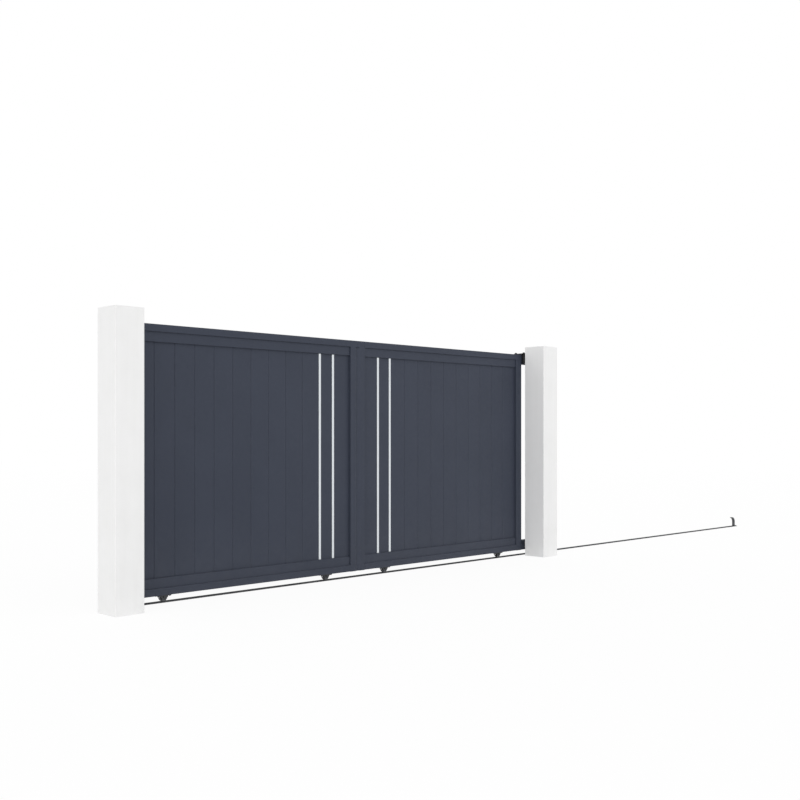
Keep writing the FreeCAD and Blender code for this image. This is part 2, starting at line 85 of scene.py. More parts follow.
# %% Helpers for finishes
class Finish:
    """A material with its main shader and the object's own coordinates ready to use."""

    def __init__(self, name, roughness, metallic=0.0, specular=0.5):
        self.material = bpy.data.materials.new(name)
        self.material.use_nodes = True
        self.tree = self.material.node_tree
        self.shader = self.tree.nodes["Principled BSDF"]
        self.shader.inputs["Metallic"].default_value = metallic
        self.shader.inputs["Roughness"].default_value = roughness
        self.shader.inputs["Specular IOR Level"].default_value = specular
        self.place = self.add("ShaderNodeTexCoord").outputs["Object"]

    def add(self, kind, **settings):
        """New node with some of its settings."""
        made = self.tree.nodes.new(kind)
        for key, value in settings.items():
            setattr(made, key, value)
        return made

    def join(self, output, socket):
        """Link from an output to a socket."""
        self.tree.links.new(output, socket)

    def axes(self, place=None):
        """The X, Y and Z of a place as three separate patterns."""
        split = self.add("ShaderNodeSeparateXYZ")
        self.join(place or self.place, split.inputs[0])
        return split.outputs

    def mapped(self, scale=(1, 1, 1), centre=(0, 0, 0)):
        """Object coordinates counted from a centre and stretched."""
        mapping = self.add("ShaderNodeMapping", vector_type="POINT")
        mapping.inputs["Scale"].default_value = scale
        mapping.inputs["Location"].default_value = [-c * s for c, s in zip(centre, scale)]
        self.join(self.place, mapping.inputs["Vector"])
        return mapping.outputs["Vector"]

    def noise(self, scale, detail=3, where=None):
        """Cloudy pattern from 0 to 1. The scale is in blobs to the metre."""
        made = self.add("ShaderNodeTexNoise")
        made.inputs["Scale"].default_value = scale
        made.inputs["Detail"].default_value = detail
        self.join(where or self.place, made.inputs["Vector"])
        return made.outputs["Fac"]

    def sums(self, operation, first, second):
        """Arithmetic on two patterns or numbers."""
        made = self.add("ShaderNodeMath", operation=operation)
        for value, socket in zip((first, second), made.inputs):
            if isinstance(value, (int, float)):
                socket.default_value = value
            else:
                self.join(value, socket)
        return made.outputs[0]

    def spread(self, pattern, low, high, start=0.3, end=0.7):
        """A pattern between start and end, turned into values between low and high."""
        made = self.add("ShaderNodeMapRange")
        numbers = {"From Min": start, "From Max": end, "To Min": low, "To Max": high}
        for key, value in numbers.items():
            made.inputs[key].default_value = value
        self.join(pattern, made.inputs["Value"])
        return made.outputs["Result"]

    def tint(self, pattern, colours):
        """A pattern turned into colours, each given with its place on the ramp."""
        made = self.add("ShaderNodeValToRGB")
        stops = made.color_ramp.elements
        while len(stops) < len(colours):
            stops.new(0.5)
        for stop, (position, colour) in zip(stops, colours):
            stop.position = position
            stop.color = (*colour, 1)
        self.join(pattern, made.inputs["Fac"])
        return made.outputs["Color"]

    def blend(self, amount, first, second):
        """First colour where the amount is 0, second where it is 1."""
        made = self.add("ShaderNodeMix", data_type="RGBA")
        self.join(amount, made.inputs["Factor"])
        for value, socket in ((first, made.inputs[6]), (second, made.inputs[7])):
            if isinstance(value, tuple):
                socket.default_value = (*value, 1)
            else:
                self.join(value, socket)
        return made.outputs[2]

    def relief(self, pattern, depth, under=None):
        """Fine relief. Depth is the real height of the grain in metres."""
        made = self.add("ShaderNodeBump")
        made.inputs["Distance"].default_value = depth
        made.inputs["Strength"].default_value = 1
        self.join(pattern, made.inputs["Height"])
        if under is not None:
            self.join(under, made.inputs["Normal"])
        return made.outputs["Normal"]

    def wear(self, colour=None, roughness=None, normal=None):
        """Puts the finished patterns on the shader and returns the material."""
        for value, name in ((colour, "Base Color"), (roughness, "Roughness"), (normal, "Normal")):
            if value is not None:
                self.join(value, self.shader.inputs[name])
        print("finish", self.material.name, "has", len(self.tree.nodes), "nodes")
        return self.material


# %% [markdown]
# ## Powder coat on the leaf frame
# The stiles and rails are aluminium tubes with a dark grey powder coat. Powder melts on the metal
# in an oven, so the coat is even in colour, satin in gloss, and has a very fine orange-peel
# ripple. The colour is two close greys driven by a soft noise, the gloss varies a little with
# another, and the ripple is a bump of a few hundredths of a millimetre. Near the ground a thin
# film of dust lightens the coat. A single flat grey would look like plastic sheet.

# %% Powder coat
coat_tones = [(0.35, (0.0373, 0.0444, 0.0652)), (0.65, (0.0401, 0.0476, 0.0697))]
coat_clouds = 2.5
dust_colour = (0.20, 0.19, 0.18)
dust_share = 0.05
dust_low, dust_top = 0.02, 0.55


def dusted(finish, colour):
    """Adds a thin film of road dust that fades out half a metre above the ground."""
    height = finish.spread(finish.axes()["Z"], 1, 0, start=dust_low, end=dust_top)
    patches = finish.spread(finish.noise(14, detail=5), 0.2, 1)
    film = finish.sums("MULTIPLY", height, patches)
    return finish.blend(finish.sums("MULTIPLY", film, dust_share), colour, dust_colour)


def orange_peel(finish):
    """The ripple of powder that has melted."""
    return finish.relief(finish.noise(620, detail=2), 0.03 * MM)


def powder_coat():
    finish = Finish("powder_coat", roughness=0.56, specular=0.25)
    tone = finish.tint(finish.noise(coat_clouds), coat_tones)
    gloss = finish.spread(finish.noise(38, detail=4), 0.51, 0.61)
    return finish.wear(dusted(finish, tone), gloss, orange_peel(finish))


frame_coat = powder_coat()

# %% [markdown]
# ## Powder coat on the boards
# The boards are drawn through a die, so besides the orange peel they carry faint lines that run
# up and down, and two boards from different bars never match exactly. The lines are a noise
# squeezed to under a millimetre across and stretched along Z. A material for each board would
# give the step in tone, but all the boards of one field are one solid, so the step is white noise
# fed with the number of the board. The boards are all of one width from the bed of the outer
# strip on, so that is where the count starts, on both sides of the middle.

# %% Board coat
board_width = 155.5 * MM
strip_reveal = 2.5 * MM
inner_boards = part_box("bright_strip_4")[1].x + strip_reveal - middle
right_field_numbers = 31
step_in_tone = 0.07
drawn_lines = (1400, 1400, 7)


def board_coat():
    finish = Finish("board_coat", roughness=0.58, specular=0.25)
    along = finish.axes()["X"]
    out = finish.sums("ABSOLUTE", finish.sums("SUBTRACT", along, middle), 0)
    count = finish.sums("DIVIDE", finish.sums("SUBTRACT", out, inner_boards), board_width)
    on_right = finish.sums("GREATER_THAN", along, middle)
    side = finish.sums("MULTIPLY", on_right, right_field_numbers)
    chance = finish.add("ShaderNodeTexWhiteNoise", noise_dimensions="1D")
    finish.join(finish.sums("ADD", finish.sums("FLOOR", count, 0), side), chance.inputs["W"])
    step = finish.spread(chance.outputs["Value"], -step_in_tone, step_in_tone, start=0, end=1)
    tone = finish.tint(finish.sums("ADD", finish.noise(coat_clouds), step), coat_tones)
    gloss = finish.spread(finish.noise(30, detail=4), 0.53, 0.63)
    lines = finish.noise(1, detail=2, where=finish.mapped(drawn_lines))
    drawn = finish.relief(lines, 0.02 * MM, under=orange_peel(finish))
    return finish.wear(dusted(finish, tone), gloss, drawn)


boards_finish = board_coat()

# %% [markdown]
# ## Brushed strips
# Four flat bars are let into the boards. They are aluminium, brushed along their length, which
# leaves fine parallel scratches and a soft, slightly blue shine. The scratches are a noise
# squeezed across the bar and stretched along it. It drives colour, gloss and relief together,
# because in real brushed metal a deeper scratch is also duller. Anisotropic shading would draw
# out the highlights too, but it needs a direction that a loaded piece without a UV map doesn't
# have. The Metallic value is a plain number on the shader, since the whole bar is metal.

# %% Brushed aluminium
brushed_lines = (2600, 2600, 16)


def brushed_aluminium():
    finish = Finish("brushed_aluminium", roughness=0.32, metallic=1)
    scratches = finish.noise(1, detail=4, where=finish.mapped(brushed_lines))
    tone = finish.tint(scratches, [(0.3, (0.65, 0.68, 0.71)), (0.7, (0.84, 0.88, 0.91))])
    gloss = finish.spread(scratches, 0.40, 0.26)
    return finish.wear(tone, gloss, finish.relief(scratches, 0.015 * MM))


strip_finish = brushed_aluminium()

# %% [markdown]
# ## Painted render on the pillars
# The pillars are masonry under a thin render that was rubbed with a float and painted off-white.
# The float leaves a sandy grain of about a millimetre, wider shallow waves where it passed, and
# rain leaves faint streaks down the faces. Noises of very different size make this, and the one
# for the streaks is stretched along Z. Real displacement would need millions of faces for so
# small a grain, so it is a bump.

# %% Pillar render
rain_streaks = (34, 34, 1.6)


def pillar_render():
    finish = Finish("pillar_render", roughness=0.85, specular=0.25)
    cloud = finish.sums("MULTIPLY", finish.noise(5, detail=5), 0.6)
    streaks = finish.noise(1, detail=3, where=finish.mapped(rain_streaks))
    mixed = finish.sums("ADD", cloud, finish.sums("MULTIPLY", streaks, 0.4))
    tone = finish.tint(mixed, [(0.32, (0.815, 0.815, 0.81)), (0.68, (0.85, 0.85, 0.85))])
    waves = finish.relief(finish.noise(26, detail=2), 0.5 * MM)
    sand = finish.noise(430, detail=4)
    gloss = finish.spread(sand, 0.78, 0.92)
    return finish.wear(tone, gloss, finish.relief(sand, 0.22 * MM, under=waves))


pillar_finish = pillar_render()

# %% [markdown]
# ## Steel of the ground rail
# The rail lies outdoors all year. Its zinc has gone dull and dark, with the faint leaf-like
# patches that hot zinc leaves when it sets, and only the crown of the bead, where the wheels
# roll, is polished. The patches are Voronoi cells, each with a grey of its own. A second material
# on the bead would give the polish a hard edge, so it is found by height: above about nine and a
# half millimetres, only the crown of the bead remains.

# %% Rail steel
crown_start, crown_full = 9.4 * MM, 10.8 * MM


def rail_steel():
    finish = Finish("rail_steel", roughness=0.5, metallic=1)
    cells = finish.add("ShaderNodeTexVoronoi")
    cells.inputs["Scale"].default_value = 90
    finish.join(finish.place, cells.inputs["Vector"])
    patches = finish.add("ShaderNodeSeparateColor")
    finish.join(cells.outputs["Color"], patches.inputs[0])
    cloud = finish.sums("MULTIPLY", finish.noise(22, detail=5), 0.7)
    mixed = finish.sums("ADD", cloud, finish.sums("MULTIPLY", patches.outputs[0], 0.3))
    dull = finish.tint(mixed, [(0.3, (0.055, 0.056, 0.060)), (0.7, (0.100, 0.102, 0.108))])
    crown = finish.spread(finish.axes()["Z"], 0, 1, start=crown_start, end=crown_full)
    worn = finish.sums("MULTIPLY", crown, finish.spread(finish.noise(60), 0.35, 0.8))
    tone = finish.blend(worn, dull, (0.30, 0.30, 0.31))
    gloss = finish.spread(worn, 0.52, 0.28, start=0, end=0.8)
    return finish.wear(tone, gloss, finish.relief(finish.noise(260, detail=4), 0.08 * MM))


rail_finish = rail_steel()

# %% [markdown]
# ## Painted steel
# The hooked stop, the guide over the leaf and the wheel carriages are steel plate with brushed-on
# paint. Paint over plate shows a slight waviness and is duller than powder coat. On small parts
# the paint rubs through on the sharp edges first. Cycles can find such edges by comparing the
# true normal with a bevelled one, but an exported model can't, so the rub is a broken noise that
# only shows as small paler specks. One function makes all three colours.

# %% Painted steel
def painted_steel(name, dark, light, rubbed, shine=0.45):
    finish = Finish(name, roughness=0.5, specular=shine)
    tone = finish.tint(finish.noise(16, detail=4), [(0.35, dark), (0.65, light)])
    specks = finish.spread(finish.noise(150, detail=5), 0, 0.55, start=0.66, end=0.74)
    gloss = finish.spread(finish.noise(55, detail=3), 0.42, 0.58)
    brushed = finish.relief(finish.noise(180, detail=3), 0.06 * MM)
    return finish.wear(finish.blend(specks, tone, rubbed), gloss, brushed)


stop_finish = painted_steel("stop_paint", dark=(0.060, 0.062, 0.068), light=(0.080, 0.083, 0.090),
                            rubbed=(0.24, 0.23, 0.22))
guide_finish = painted_steel("guide_paint", dark=(0.007, 0.007, 0.008), light=(0.012, 0.012, 0.013),
                             rubbed=(0.05, 0.05, 0.05), shine=0.2)
carriage_finish = painted_steel("carriage_paint", dark=(0.028, 0.031, 0.036),
                                light=(0.040, 0.043, 0.048), rubbed=(0.11, 0.11, 0.11))

# %% [markdown]
# ## Turned steel of the wheels
# A grooved wheel is turned on a lathe, and the tool leaves fine rings round the axle. Each wheel
# needs its own centre for these rings, so the coordinates are counted from the middle of the
# wheel before the distance to the axle is measured. The Wave texture draws rings too, but this
# distance is needed anyway. The groove, which runs on the bead, is brighter than the sides: it is
# found by its distance from the axle and from the middle plane of the wheel.

# %% Wheel steel
tool_pitch = 0.7 * MM
groove_half_width = 6.4 * MM
groove_inner_radius = 24 * MM


def turned_steel(name, centre):
    finish = Finish(name, roughness=0.4, metallic=1)
    axes = finish.axes(finish.mapped(centre=centre))
    across = finish.sums("POWER", axes["X"], 2)
    up = finish.sums("POWER", axes["Z"], 2)
    radius = finish.sums("SQRT", finish.sums("ADD", across, up), 0)
    rings = finish.sums("SINE", finish.sums("MULTIPLY", radius, 2 * math.pi / tool_pitch), 0)
    stain = finish.noise(90, detail=5)
    dull = finish.tint(stain, [(0.3, (0.10, 0.102, 0.11)), (0.7, (0.17, 0.172, 0.18))])
    tread = finish.sums("LESS_THAN", finish.sums("ABSOLUTE", axes["Y"], 0), groove_half_width)
    rim = finish.sums("GREATER_THAN", radius, groove_inner_radius)
    groove = finish.sums("MULTIPLY", tread, rim)
    bright = finish.sums("MULTIPLY", groove, finish.spread(stain, 0.5, 0.9))
    tone = finish.blend(bright, dull, (0.42, 0.42, 0.43))
    return finish.wear(tone, finish.spread(stain, 0.48, 0.34), finish.relief(rings, 0.01 * MM))


wheel_finishes = []
for number, centre in enumerate(wheel_centres, start=1):
    wheel_finishes.append(turned_steel("wheel_steel_%d" % number, centre))

# %% [markdown]
# ## Zinc, nylon and rubber
# The bolts on the pillars' backs are steel with bright zinc, which has a faintly mottled,
# slightly warm shine. The studs of the guide and the bolts and axles of the wheel carriages are
# blackened steel, dulled by oil and road dirt. Both are the same mottle in other colours. The
# guide rollers are black nylon turned from rod, so they are dull with fine rings across. The
# buffer that the leaf closes against is ribbed rubber: its ribs are a sine wave along Z, four
# millimetres from rib to rib, and its surface is nearly matt. Ribs could be modelled, but nobody
# can come near a buffer that sits deep in its channel.

# %% Zinc, nylon and rubber
def plated(name, dark, light, dull, glossy):
    """Mottled metal plating of a fastener."""
    finish = Finish(name, roughness=dull, metallic=1)
    mottle = finish.noise(240, detail=5)
    tone = finish.tint(mottle, [(0.3, dark), (0.7, light)])
    return finish.wear(tone, finish.spread(mottle, dull, glossy), finish.relief(mottle, 0.02 * MM))


def ringed(name, colour, pale, pitch, depth, roughness):
    """Dull dark material with rings or ribs that follow each other along Z."""
    finish = Finish(name, roughness=roughness, specular=0.25)
    turns = finish.sums("MULTIPLY", finish.axes()["Z"], 2 * math.pi / pitch)
    wave = finish.sums("SINE", turns, 0)
    grain = finish.noise(300, detail=4)
    tone = finish.tint(grain, [(0.3, colour), (0.7, pale)])
    gloss = finish.spread(grain, roughness - 0.06, roughness + 0.06)
    fine = finish.relief(grain, 0.03 * MM)
    return finish.wear(tone, gloss, finish.relief(wave, depth, under=fine))


zinc_finish = plated("bright_zinc", dark=(0.34, 0.34, 0.33), light=(0.52, 0.52, 0.50),
                     dull=0.42, glossy=0.28)
black_finish = plated("blackened_steel", dark=(0.045, 0.046, 0.050), light=(0.085, 0.087, 0.092),
                      dull=0.58, glossy=0.44)
nylon_finish = ringed("black_nylon", colour=(0.008, 0.008, 0.008), pale=(0.015, 0.015, 0.015),
                      pitch=0.9 * MM, depth=0.02 * MM, roughness=0.55)
rubber_finish = ringed("ribbed_rubber", colour=(0.014, 0.014, 0.014), pale=(0.026, 0.025, 0.024),
                       pitch=4 * MM, depth=0.35 * MM, roughness=0.8)

# %% [markdown]
# ## Giving each loaded piece its finish
# A line of code for each piece would do, but with this many pieces one is soon forgotten. The
# record of the gate names a material slot for every piece, so one small table from slot to finish
# covers them all. The wheels are the exception, because each has rings about its own axle.

# %% Finishes on the loaded pieces
finish_of_slot = {
    "pillar": pillar_finish,
    "ground_rail": rail_finish,
    "stop": stop_finish,
    "receiver": frame_coat,
    "buffer": rubber_finish,
    "guide": guide_finish,
    "roller": nylon_finish,
    "leaf_frame": frame_coat,
    "boards": boards_finish,
    "strip": strip_finish,
    "carriage": carriage_finish,
    "axle": black_finish,
}
for part in frame["record"]["subparts"]:
    piece = nodes[part["node"]]
    piece.data.materials.clear()
    if part["material_slot"] == "wheel":
        piece.data.materials.append(wheel_finishes[int(part["node"][-1]) - 1])
    else:
        piece.data.materials.append(finish_of_slot[part["material_slot"]])

# %% [markdown]
# ## A small kit for hardware
# Nearly all the hardware is small, repeated and round or six-sided, so each kind is modelled once,
# standing on the ground at the origin and pointing up, and then copied to every place where it is
# used. The copies of one group become one mesh, because a hundred separate objects would only
# make the scene slow. The place goes into the mesh and the object itself stays at the origin.

# %% Helpers for hardware
quarter_turn = math.pi / 2
no_distance = 1e-7
machined_crease = 32
pointing = {
    "up": Matrix.Identity(4),
    "down": Matrix.Rotation(2 * quarter_turn, 4, "X"),
    "to_yard": Matrix.Rotation(-quarter_turn, 4, "X"),
    "to_street": Matrix.Rotation(quarter_turn, 4, "X"),
    "to_open_end": Matrix.Rotation(quarter_turn, 4, "Y"),
    "to_closing_end": Matrix.Rotation(-quarter_turn, 4, "Y"),
}


def ease(bm, edges, width):
    """Rounds edges over a width, with two segments."""
    bmesh.ops.bevel(bm, geom=edges, offset=width, segments=2, profile=0.5, affect="EDGES",
                    material=-1)


def prism(bm, sides, radius, foot, top, eased):
    """Upright prism or disc between two heights, its upper rim eased by a bevel."""
    place = Matrix.Translation((0, 0, (foot + top) / 2))
    made = bmesh.ops.create_cone(bm, cap_ends=True, segments=sides, radius1=radius, radius2=radius,
                                 depth=top - foot, matrix=place)
    rim = []
    for edge in {edge for vert in made["verts"] for edge in vert.link_edges}:
        if all(abs(vert.co.z - top) < no_distance for vert in edge.verts):
            rim.append(edge)
    ease(bm, rim, eased)


def template(build, **sizes):
    """Mesh of one fastener, made once."""
    bm = bmesh.new()
    build(bm, **sizes)
    bmesh.ops.recalc_face_normals(bm, faces=bm.faces)
    mesh = bpy.data.meshes.new(build.__name__)
    bm.to_mesh(mesh)
    bm.free()
    print("one", build.__name__, "has", len(mesh.polygons), "faces")
    return mesh


def fit(name, copies, material, body, crease=machined_crease):
    """One piece with every copy of its templates in place, riding on a body of the gate."""
    bm = bmesh.new()
    for mesh, spot, direction in copies:
        before = len(bm.verts)
        bm.from_mesh(mesh)
        bm.verts.ensure_lookup_table()
        matrix = Matrix.Translation(spot) @ pointing[direction]
        bmesh.ops.transform(bm, matrix=matrix, verts=bm.verts[before:])
    piece_from(bm, name, material, body, crease)


def piece_from(bm, name, material, body, crease=machined_crease):
    """A named piece that rides on a body, shaded sharp where it turns by more than the crease."""
    mesh = bpy.data.meshes.new(name)
    bm.to_mesh(mesh)
    bm.free()
    for polygon in mesh.polygons:
        polygon.use_smooth = True
    mesh.set_sharp_from_angle(angle=math.radians(crease))
    mesh.materials.append(material)
    piece = bpy.data.objects.new(name, mesh)
    bpy.context.scene.collection.objects.link(piece)
    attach(piece, body)
    print("made", name, "with", len(mesh.polygons), "faces")


# %% [markdown]
# ## Hexagon bolts and nuts
# A hexagon bolt shows its washer, its six-sided head and, on the nut's side, the end of the
# thread. The head is a six-sided cone of equal radii, which is a prism, with its upper rim
# bevelled as on a real head. A thread of under a millimetre isn't cut, because it would cost
# thousands of faces and nobody sees it from a metre away. Its end is a plain round stub.

# %% Hexagon bolt and nut
hexagon_sides, washer_sides, thread_sides = 6, 28, 20


def hexagon(bm, across_flats, foot, height):
    """Six-sided block, measured as a spanner grips it."""
    radius = across_flats / math.sqrt(3)
    prism(bm, hexagon_sides, radius, foot, foot + height, eased=height / 9)


def bolt(bm, across_flats, head, washer_radius, washer):
    """Washer and hexagon head, pointing up from the face that they press on."""
    prism(bm, washer_sides, washer_radius, 0, washer, eased=washer / 4)
    hexagon(bm, across_flats, washer, head)


def nut(bm, across_flats, height, thread_radius, thread_out):
    """Hexagon nut with the rounded end of its bolt showing."""
    hexagon(bm, across_flats, 0, height)
    prism(bm, thread_sides, thread_radius, height, height + thread_out, eased=thread_out / 3)


# %% [markdown]
# ## Bolts of the guide
# The guide is a plate over the leaf, bent down on the back of the far pillar. Four bolts hold its
# flange to the pillar. Each of the four rollers hangs on a stud, which shows as a hexagon head on
# top of the plate and as a nut below the roller. The studs could be spaced out by hand, but the
# rollers' own boxes give their place exactly.

# %% Guide bolts
flange_bolt = template(bolt, across_flats=16 * MM, head=6.4 * MM, washer_radius=10 * MM,
                       washer=1.6 * MM)
stud_head = template(bolt, across_flats=18 * MM, head=7.5 * MM, washer_radius=12 * MM,
                     washer=1.8 * MM)
stud_nut = template(nut, across_flats=19 * MM, height=7 * MM, thread_radius=5 * MM,
                    thread_out=3 * MM)

guide_low, guide_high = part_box("guide_bracket")
far_pillar = (guide_low.x + guide_high.x) / 2
guide_plate = 6 * MM
flange_hole_reach = 40 * MM
holes_below_top = (95 * MM, 31 * MM)
play_under_roller = 0.3 * MM

flange_copies = []
for side in (-1, 1):
    for below in holes_below_top:
        x = far_pillar + side * flange_hole_reach
        spot = Vector((x, pillar_back + guide_plate, guide_high.z - below))
        flange_copies.append((flange_bolt, spot, "to_yard"))
fit("guide_flange_bolts", flange_copies, zinc_finish, "fixed")

head_copies = []
nut_copies = []
for number in range(1, 5):
    low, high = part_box("guide_roller_%d" % number)
    centre = (low + high) / 2
    head_copies.append((stud_head, Vector((centre.x, centre.y, guide_high.z)), "up"))
    nut_copies.append((stud_nut, Vector((centre.x, centre.y, low.z - play_under_roller)), "down"))
fit("guide_stud_heads", head_copies, black_finish, "fixed")
fit("guide_stud_nuts", nut_copies, black_finish, "fixed")

# %% [markdown]
# ## Bolts of the receiving channel
# The channel that the closing end of the leaf runs into is screwed to the back of the near
# pillar through four holes, evenly spaced up its flange. The first and last holes are eighty
# millimetres from the ends. An Array modifier could repeat the bolt, but a loop over the four
# heights is as short and says where each one is.

# %% Channel bolts
channel_bolt = template(bolt, across_flats=13 * MM, head=5.3 * MM, washer_radius=8.5 * MM,
                        washer=1.6 * MM)
channel_low, channel_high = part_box("receiving_channel")
channel_plate = 4 * MM
hole_from_edge = 18 * MM
hole_from_end = 80 * MM
channel_holes = 4
lowest_hole = channel_low.z + hole_from_end
hole_pitch = (channel_high.z - hole_from_end - lowest_hole) / (channel_holes - 1)

channel_copies = []
for step in range(channel_holes):
    height = lowest_hole + step * hole_pitch
    spot = Vector((channel_low.x + hole_from_edge, pillar_back + channel_plate, height))
    channel_copies.append((channel_bolt, spot, "to_yard"))
fit("channel_bolts", channel_copies, zinc_finish, "fixed")

# %% [markdown]
# ## Anchor screws of the rail
# Pairs of screws hold the rail down on its strip of concrete. They need low heads, because the
# wheels and their carriages pass close above them. The head is a dome with a round recess for the
# key. It is spun: half of its outline is turned once round the Z axis, and the first and last
# copies are merged. Scaling a sphere would make the dome too, but not the rim and the recess in
# one go.

# %% Anchor screws
rail_base_top = 3 * MM
anchor_from_centre = 14 * MM
anchor_from_end = 80 * MM
anchor_bays = 4
screw_sides = 18


def dome_screw(bm, radius, height, recess):
    """Low domed screw head with a recess for the key, spun about its own axis."""
    outline = [
        (0.0, height - recess),
        (radius * 0.36, height - recess),
        (radius * 0.36, height),
        (radius * 0.62, height * 0.93),
        (radius * 0.86, height * 0.66),
        (radius, height * 0.22),
        (radius, 0.0),
        (0.0, 0.0),
    ]
    verts = [bm.verts.new((x, 0, z)) for x, z in outline]
    edges = [bm.edges.new(pair) for pair in zip(verts, verts[1:])]
    bmesh.ops.spin(bm, geom=verts + edges, cent=(0, 0, 0), axis=(0, 0, 1), angle=4 * quarter_turn,
                   steps=screw_sides, use_merge=True, use_duplicate=False)
    bmesh.ops.remove_doubles(bm, verts=bm.verts, dist=no_distance)


anchor_screw = template(dome_screw, radius=5 * MM, height=3 * MM, recess=1.4 * MM)
for number in (1, 2):
    low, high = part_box("ground_rail_%d" % number)
    pitch = (high.x - low.x - 2 * anchor_from_end) / anchor_bays
    copies = []
    for bay in range(anchor_bays + 1):
        for side in (-1, 1):
            x = low.x + anchor_from_end + bay * pitch
            spot = Vector((x, gate_line + side * anchor_from_centre, rail_base_top))
            copies.append((anchor_screw, spot, "up"))
    fit("rail_anchor_screws_%d" % number, copies, rail_finish, "fixed")

# %% [markdown]
# ## Weld beads
# The foot of the hooked stop is welded along both long sides to the base of the rail, and each
# cheek of a wheel carriage is welded to its plate. A weld bead is a row of overlapping drops of
# metal. Each drop here is a round ball, flattened and set a little further along than the one
# before it, which gives the ripples of a real bead. A tube along the seam would be simpler, but
# it would look like a cord. There are hundreds of drops, so a ball has only thirty-two faces, and
# smooth shading rounds it.

# %% Weld beads
weld_crease = 75
drop_squash = (0.75, 1, 0.85)


def weld_drop(bm, radius):
    """One drop of a weld bead, shorter along the bead than across it."""
    bmesh.ops.create_uvsphere(bm, u_segments=8, v_segments=4, radius=radius)
    bmesh.ops.scale(bm, vec=drop_squash, verts=bm.verts)


def bead(drop, pitch, start_x, end_x, y, z):
    """Row of drops along the gate."""
    steps = round((end_x - start_x) / pitch)
    return [(drop, Vector((start_x + step * pitch, y, z)), "up") for step in range(steps + 1)]


wide_drop = template(weld_drop, radius=2.6 * MM)
wide_pitch = 2.2 * MM
stop_foot, short_of_edge = 38 * MM, 1.5 * MM
drop_rise = 0.4 * MM
stop_low, stop_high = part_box("open_end_stop")
weld_start = stop_high.x - stop_foot
weld_end = stop_high.x - short_of_edge
foot_height = rail_base_top + drop_rise
copies = []
for y in (stop_low.y, stop_high.y):
    copies += bead(wide_drop, wide_pitch, weld_start, weld_end, y, foot_height)
fit("stop_welds", copies, rail_finish, "fixed", crease=weld_crease)

fine_drop = template(weld_drop, radius=1.7 * MM)
fine_pitch = 1.6 * MM
cheek_outside, weld_reach = 18 * MM, 31 * MM
carriage_plate = 4 * MM
plate_low = leaf_bottom - carriage_plate
for number, centre in enumerate(wheel_centres, start=1):
    copies = []
    for side in (-1, 1):
        copies += bead(fine_drop, fine_pitch, centre.x - weld_reach, centre.x + weld_reach,
                       gate_line + side * cheek_outside, plate_low)
    fit("carriage_welds_%d" % number, copies, carriage_finish, "leaf",
        crease=weld_crease)

# %% [markdown]
# ## Bolts of the wheel carriages
# Each carriage plate is held under the bottom rail by a bolt near each corner, head down. The
# axle is a bolt through both cheeks: its hexagon head is on the street side and its nut, with the
# end of the thread, on the yard side. Head and nut go round the plain ends that the axle already
# has, so they share its centre. All are the two fasteners from above in other sizes, since a
# shape for each would only repeat them.

# %% Carriage hardware
carriage_bolt = template(bolt, across_flats=10 * MM, head=4 * MM, washer_radius=6.2 * MM,
                         washer=0.8 * MM)
axle_head = template(bolt, across_flats=16 * MM, head=5.2 * MM, washer_radius=9.6 * MM,
                     washer=0.8 * MM)
axle_nut = template(nut, across_flats=16 * MM, height=6.4 * MM, thread_radius=4.6 * MM,
                    thread_out=3 * MM)
corner_along, corner_aside = 44 * MM, 15 * MM

for number, centre in enumerate(wheel_centres, start=1):
    copies = []
    for along in (-corner_along, corner_along):
        for aside in (-corner_aside, corner_aside):
            spot = Vector((centre.x + along, gate_line + aside, plate_low))
            copies.append((carriage_bolt, spot, "down"))
    copies.append((axle_head, Vector((centre.x, gate_line - cheek_outside, centre.z)), "to_street"))
    copies.append((axle_nut, Vector((centre.x, gate_line + cheek_outside, centre.z)), "to_yard"))
    fit("carriage_bolts_%d" % number, copies, black_finish, "leaf")

# %% [markdown]
# ## Screws through the end stiles
# The rails of the leaf are screwed to its two end stiles from outside, with two screws for each
# rail. They have the same low domed head as the anchor screws, only smaller, so that the leaf can
# still run into its channel and against its stop. Hexagon heads would stand out too far for that.

# %% Stile screws
stile_screw = template(dome_screw, radius=4.5 * MM, height=2.4 * MM, recess=1.2 * MM)
screw_from_end = 24 * MM
screw_from_line = 17 * MM
screw_heights = (leaf_bottom + screw_from_end, stile_high.z - screw_from_end)
closing_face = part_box("left_stile")[0].x
open_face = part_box("tail_stile")[1].x

copies = []
for x, direction in ((closing_face, "to_closing_end"), (open_face, "to_open_end")):
    for z in screw_heights:
        for aside in (-screw_from_line, screw_from_line):
            copies.append((stile_screw, Vector((x, gate_line + aside, z)), direction))
fit("stile_screws", copies, zinc_finish, "leaf")

# %% [markdown]
# ## Plugs in the feet of the stiles
# The stiles are open tubes at the bottom. A plastic plug closes each one, so that rain and wasps
# stay out. Its thin flange is a millimetre smaller than the tube on every side and a millimetre
# and a half thick: a cube scaled to size and bevelled. The two meeting stiles have a slanted
# corner beside the valley between them, so a plane cuts that corner off their plugs.

# %% Stile plugs
plug_depth = 1.5 * MM
plug_inset = 1 * MM
plug_edge = 0.5 * MM
valley_reach = 26 * MM
valley_depth = 9 * MM


